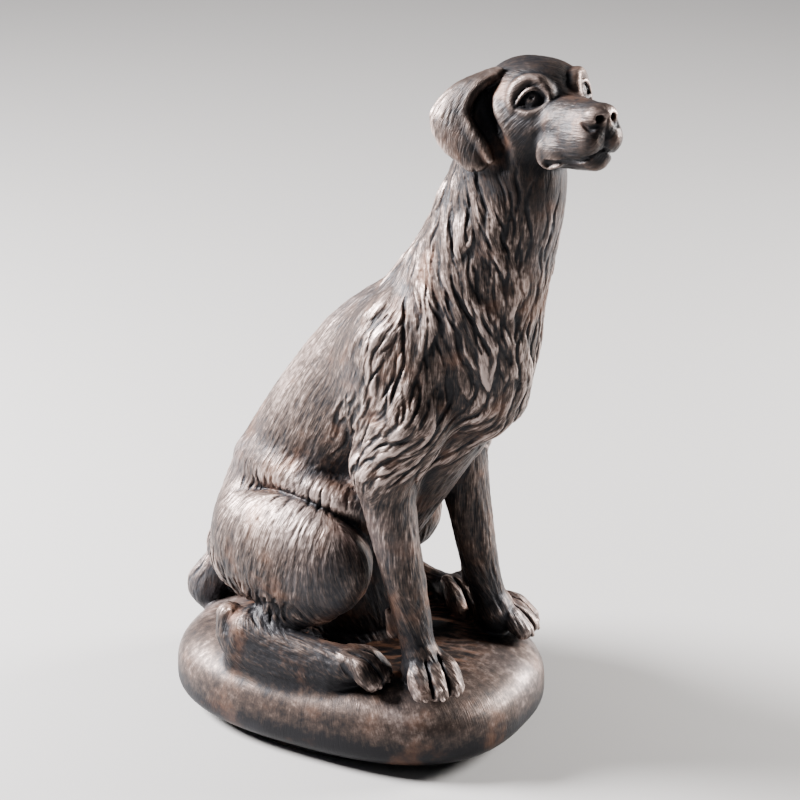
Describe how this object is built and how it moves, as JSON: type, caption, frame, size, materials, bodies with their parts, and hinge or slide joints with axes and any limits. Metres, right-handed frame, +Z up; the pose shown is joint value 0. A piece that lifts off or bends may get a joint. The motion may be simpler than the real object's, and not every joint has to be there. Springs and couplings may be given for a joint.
{
  "type": "garden statue of a seated dog",
  "caption": "Seated labrador with a long coat on a low rounded stone, cast in one piece with an antique bronze finish, for standing outdoors.",
  "frame": {"origin": "middle of the flat underside of the base's foot rim", "axes": "+Z up, the dog's body faces -Y, +X is the dog's left"},
  "size_m": [0.2514, 0.4543, 0.6311],
  "materials": {
    "bronze_finish": "antique bronze patina: near-black in the recesses, umber brown on the body, dry-brushed pinkish beige on the high points, satin"
  },
  "bodies": {
    "root": {"labrador_statue": "bronze_finish"}
  },
  "joints": []
}
